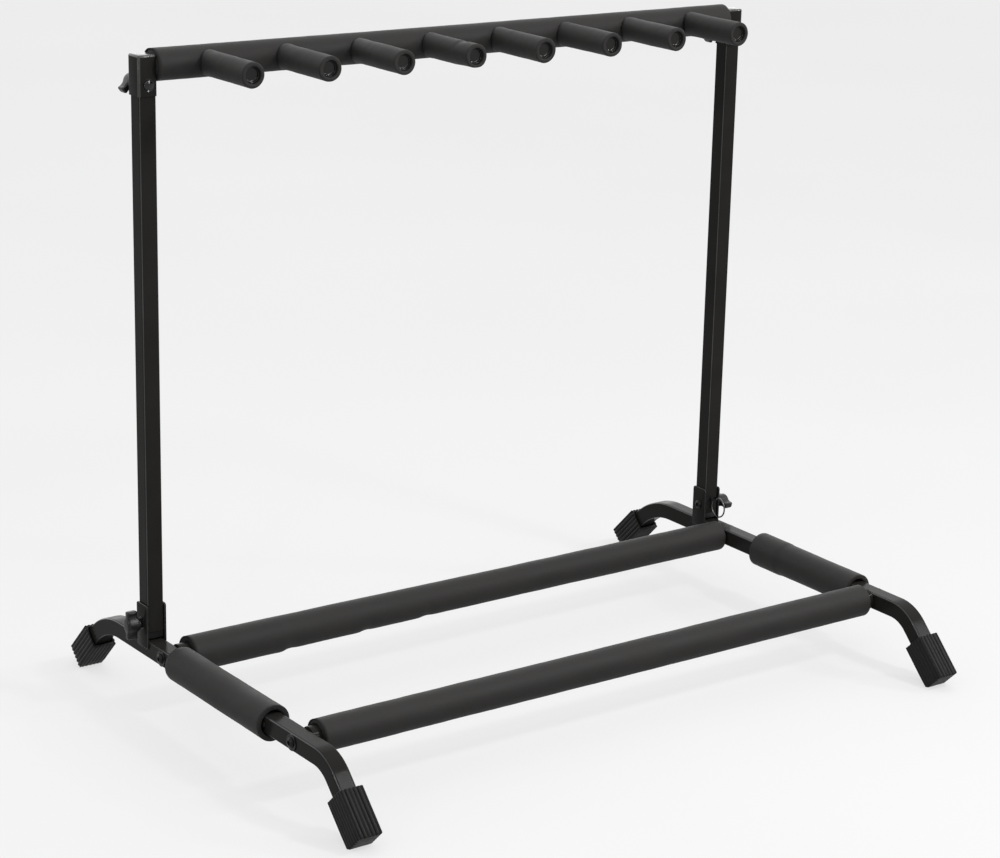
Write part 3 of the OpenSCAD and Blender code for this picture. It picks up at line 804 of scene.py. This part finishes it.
def hinge_fasteners():
    """Bolts through the ears and uprights from the inside, with a washer under each knob."""
    bolts, washers = [], []
    over_ears = TUBE / 2 + EAR_T
    for side in (-1, 1):
        inner = Vector((side * (HALF_W - over_ears), UP_Y, HINGE_Z))
        outer = Vector((side * (HALF_W + over_ears), UP_Y, HINGE_Z))
        bolts.append(button_head(frame_of(inner, X * -side, socket_way(side + 0.4))))
        bolts.append(shank(frame_of(inner, X * side, Y)))
        washers.append(washer(frame_of(outer, X * side, Y), 7 * MM, WASHER_T))
    group("hinge_bolts", bolts, "base", BOLT, "zinc", "pivot_bolts")
    group("hinge_washers", washers, "base", BOLT, "zinc", "pivot_washers")


def clamp_fasteners():
    """Bolts through the top brackets, each with a flat dished rim around a plain dome."""
    rim = [(6.9, -0.3), (7.0, 0.0), (6.9, 0.35), (6.5, 0.5), (6.1, 0.35), (5.6, 0.1), (4.0, 0.1)]
    dome = [(5.4, -0.2), (5.5, 0.4), (5.4, 0.9), (5.15, 1.25), (4.7, 1.5), (3.9, 1.75), (2.8, 2.0),
            (1.5, 2.17), (0.05, 2.23)]
    bolts, washers = [], []
    for side in (-1, 1):
        front = Vector((side * HALF_W, UP_Y - BRACKET_HALF_D, CLAMP_Z))
        back = Vector((side * HALF_W, UP_Y + BRACKET_HALF_D, CLAMP_Z))
        bolts += [lathe(profile, frame_of(front, -Y, X)) for profile in (rim, dome)]
        bolts.append(shank(frame_of(front, Y, X)))
        washers.append(washer(frame_of(back, Y, X), 7 * MM, WASHER_T))
    group("clamp_bolts", bolts, "upper_frame", POLISHED, "zinc", "top_bolts")
    group("clamp_washers", washers, "upper_frame", BOLT, "zinc", "top_washers")


crossbar_fasteners()
leg_rivets()
hinge_fasteners()
clamp_fasteners()


# ---------------------------------------------------------------- wing knobs, in millimetres
WING_HALF = 16.3  # from the hub's centre to a wing's tip
WING_EDGE = 2.0  # rounding of the tips
HUB_R = 7.5


def superellipse(a):
    """Cosine and sine of an angle, pushed out towards a square."""
    return [math.copysign(abs(value) ** 0.42, value) for value in (math.cos(a), math.sin(a))]


def wing_ring(x, count=48):
    """The knob's section at x along its wings: points (thickness way, axis way)."""
    far = abs(x)
    near_tip = max(0.0, (far - (WING_HALF - WING_EDGE)) / WING_EDGE)
    round_off = math.sqrt(max(0.0, 1 - near_tip ** 2))
    wing = 5.0 - 1.5 * smooth_step(far, 4, 12) + 0.5 * smooth_step(far, 12, 15)
    hub = math.sqrt(max(0.0, HUB_R ** 2 - far ** 2))
    fillet = 0.5 * bell(hub, wing, 1.6)
    thick = (max(wing, hub) + fillet) * (0.35 + 0.65 * round_off if near_tip < 1 else 0.05)
    low = 3.0 + 2.8 * smooth_step(far, 5.5, 9.0)
    top = 19.0 - 1.0 * smooth_step(far, 3, 9)
    reach = (top - low) / 2 - WING_EDGE * (1 - round_off)
    ring = []
    for a in angles(count):
        across, along = superellipse(a)
        ring.append((across * thick, (top + low) / 2 + along * reach))
    return ring


def wing_knob(word, seat, axis, wing_way):
    """One moulding: a round hub on a slimmer neck, with two blunt wings that run most of its length."""
    place = frame_of(seat, axis, wing_way)
    origin, axis, u, v = place
    steps = 56
    rings = []
    for i in range(steps + 1):
        x = -WING_HALF * math.cos(math.pi * i / steps)
        rings.append([origin + (u * x + v * across + axis * along) * MM for across, along in wing_ring(x)])
    neck = [(5.1, 0.0), (5.3, 0.2), (5.4, 2.4), (6.0, 3.1), (6.9, 3.6), (6.9, 6.0)]
    name = f"knob_{word}"
    group(f"wing_{word}", [loft(rings), lathe(neck, place, 40)], name, PLASTIC, "plastic", name, sharp=60)


def wing_knobs():
    """One knob on each hinge bolt and each clamping bolt, against its washer."""
    hinge_x = HALF_W + TUBE / 2 + EAR_T + WASHER_T
    wing_knob("base_left", Vector((-hinge_x, UP_Y, HINGE_Z)), -X, Z)
    wing_knob("base_right", Vector((hinge_x, UP_Y, HINGE_Z)), X, turned(-Y, -Z, 14))
    for side, word in SIDES:
        seat = Vector((side * HALF_W, UP_Y + BRACKET_HALF_D + WASHER_T, CLAMP_Z))
        wing_knob(f"top_{word}", seat, Y, turned(X, Z, 40))


wing_knobs()


# ---------------------------------------------------------------- peg caps, pull pin and its ring
RING_R, WIRE_R = 12.5 * MM, 0.95 * MM
EYE_OUT = 15 * MM  # from the upright's centre line to the pin's eye


def peg_caps():
    """Moulded caps with a raised rim and a sunk middle."""
    profile = [(8.9, -6.0), (8.9, -0.7), (8.7, -0.25), (8.3, 0.0), (7.9, -0.1), (7.6, -0.6), (7.4, -1.6),
               (7.0, -2.1), (6.2, -2.25), (3.5, -2.2), (0.05, -2.2)]
    tip = 102 * MM
    caps = []
    for i in PEGS:
        root, way, _ = along_peg(i)
        caps.append(lathe(profile, frame_of(root + way * tip, way, X), 64))
    group("peg_end_caps", caps, "upper_frame", CAP_PLASTIC_SHADED, "plastic", "peg_caps", sharp=70)


def pull_pin():
    """A short pin that ends in a flat round eye."""
    pin = Vector((HALF_W, UP_Y, PIN_Z))
    section = ((4.1, -1.1), (4.5, -0.8), (4.6, 0.0), (4.5, 0.8), (4.1, 1.1),
               (3.3, 1.1), (2.95, 0.8), (2.8, 0.0), (2.95, -0.8), (3.3, -1.1))
    rings = [circle(pin - Y * EYE_OUT + Z * h * MM, X, Y, r * MM, 40) for r, h in section]
    shaft = lathe([(2.3, 5.0), (2.5, 5.2), (2.5, 10.6), (2.2, 11.9)], frame_of(pin, -Y, X), 32)
    group("pull_pin_eye", [loft(rings, closed=True), shaft], "pull_pin", BOLT, "zinc", "pull_pin")


def pull_ring():
    """A wire ring that hangs from the eye, its centre below and in front of it."""
    centre = Vector((HALF_W, UP_Y - EYE_OUT, PIN_Z)) - turned(Y, Z, 45) * RING_R
    rings = []
    for t in angles(120):
        out = Y * math.cos(t) + Z * math.sin(t)
        rings.append(circle(centre + out * RING_R, out, X, WIRE_R, 16))
    group("pull_ring_wire", [loft(rings, closed=True)], "pull_ring", WIRE, "zinc", "pull_ring", sharp=None)


peg_caps()
pull_pin()
pull_ring()

# ---------------------------------------------------------------- CAD nodes that stay
KEPT_NODES = {"crossbar_front": STEEL, "crossbar_rear": STEEL, "crossbar_inserts": BOLT, "top_bar": STEEL,
              "upright_bottom_plugs": PLASTIC, "upright_top_plugs": PLASTIC}
KEPT_NODES.update({f"peg_{i}": STEEL for i in PEGS})
for node, mat in KEPT_NODES.items():
    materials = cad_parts[node].data.materials
    materials.clear()
    materials.append(mat)


# ---------------------------------------------------------------- floor and world
FLOOR_HALF = 30.0


def lay_floor():
    """A pale floor that gives some light of its own, so that shadows stay faint."""
    mat, tree, position = new_material("pale_floor")
    grey = [(0.3, (0.12, 0.12, 0.12)), (0.7, (0.128, 0.128, 0.128))]
    add_shader(tree, {
        "Base Color": add_ramp(tree, add_noise(tree, position, 1.2), grey),
        "Emission Color": (1.0, 1.0, 1.0, 1.0),
        "Emission Strength": 0.64,
        "Roughness": 0.95,
        "Specular IOR Level": 0.0,
    })
    corners = [(x * FLOOR_HALF, y * FLOOR_HALF, 0) for x, y in ((-1, -1), (1, -1), (1, 1), (-1, 1))]
    make("floor", corners, [(0, 1, 2, 3)], mat, smooth=False)


def ease(tree, value, low, high, start, end):
    """Goes smoothly from start to end while value goes from low to high."""
    inputs = {"Value": value, "From Min": low, "From Max": high, "To Min": start, "To Max": end}
    return add_node(tree, "ShaderNodeMapRange", inputs, interpolation_type="SMOOTHSTEP").outputs[0]


def combine(tree, kind, a, b):
    """A sum or product of two sockets."""
    return add_node(tree, "ShaderNodeMath", {0: a, 1: b}, operation=kind).outputs[0]


def light_world():
    """White surroundings, brighter overhead and low behind, darker in front and to the left."""
    world = bpy.data.worlds.new("studio")
    bpy.context.scene.world = world
    world.use_nodes = True
    tree = world.node_tree
    way = add_node(tree, "ShaderNodeTexCoord", {}).outputs["Generated"]
    x, y, z = add_node(tree, "ShaderNodeSeparateXYZ", {0: way}).outputs
    overhead = ease(tree, z, 0.05, 0.8, 1.1, 2.0)
    shade = combine(tree, "MULTIPLY", ease(tree, y, -0.9, 0.2, 0.85, 1.0), ease(tree, x, -0.9, 0.1, 0.5, 1.0))
    low = ease(tree, z, 0.1, 0.75, 1.0, 0.0)
    backdrop = combine(tree, "MULTIPLY", ease(tree, y, 0.1, 0.8, 0.0, 1.5), low)
    strength = combine(tree, "ADD", combine(tree, "MULTIPLY", overhead, shade), backdrop)
    background = tree.nodes["Background"]
    background.inputs["Color"].default_value = (1.0, 1.0, 1.0, 1)
    tree.links.new(strength, background.inputs["Strength"])


lay_floor()
light_world()


# ---------------------------------------------------------------- lights
def area(name, at, target, size, power):
    """An area light at a place, aimed at a target; size in metres and power in watts."""
    light = bpy.data.lights.new(name, "AREA")
    light.shape = "RECTANGLE"
    light.size, light.size_y = size
    light.energy = power
    obj = bpy.data.objects.new(name, light)
    bpy.context.scene.collection.objects.link(obj)
    obj.location = at
    obj.rotation_euler = (Vector(target) - Vector(at)).to_track_quat("-Z", "Y").to_euler()
    obj.visible_camera = False


LEFT_TOE, RIGHT_TOE = (-0.4, -0.28, 0.04), (0.43, -0.28, 0.04)  # the front ends of the legs
area("overhead", (-0.2, 1.0, 3.1), (0, 0.3, 0.3), (2.6, 2.0), 11.0)
area("right_box", (2.17, -1.31, 1.66), RIGHT_TOE, (0.25, 0.25), 20.0)
area("front_box", (0.85, -1.49, 1.97), LEFT_TOE, (0.3, 0.3), 28.0)
area("left_glint", (-2.86, -0.73, 1.6), LEFT_TOE, (0.16, 0.5), 7.0)
area("top_glint", (-1.78, -1.3, 2.0), RIGHT_TOE, (0.16, 0.5), 7.0)
area("low_strip", (-3.1, 0.2, 0.55), (-0.4, 0.0, 0.1), (0.12, 0.4), 6.0)
area("front_strip", (0.95, -2.38, 1.39), (-0.43, 0.2, 0.7), (0.3, 0.9), 18.0)
bpy.context.scene.view_settings.view_transform = "Standard"

# ---------------------------------------------------------------- camera
CAMERA_AT = Vector((-1.7524, UP_Y - 2.5398, 1.1925))
CAMERA_YAW, CAMERA_TIP, CAMERA_ROLL = -37.44, 17.11, 1.86  # in degrees


def place_camera():
    """The photograph's view: from in front, from the left and from above, slightly rolled."""
    data = bpy.data.cameras.new("camera")
    data.sensor_width = 36
    data.lens = 98.61
    data.shift_x = -0.08
    data.shift_y = 0.02
    data.clip_end = 100
    camera = bpy.data.objects.new("camera", data)
    bpy.context.scene.collection.objects.link(camera)
    level_back, right = turned(-Y, X, CAMERA_YAW), turned(X, Y, CAMERA_YAW)
    back = turned(level_back, Z, CAMERA_TIP)
    up = back.cross(right)
    axes = Matrix((turned(right, up, CAMERA_ROLL), turned(up, -right, CAMERA_ROLL), back)).transposed()
    camera.matrix_world = Matrix.Translation(CAMERA_AT) @ axes.to_4x4()
    bpy.context.scene.camera = camera


place_camera()
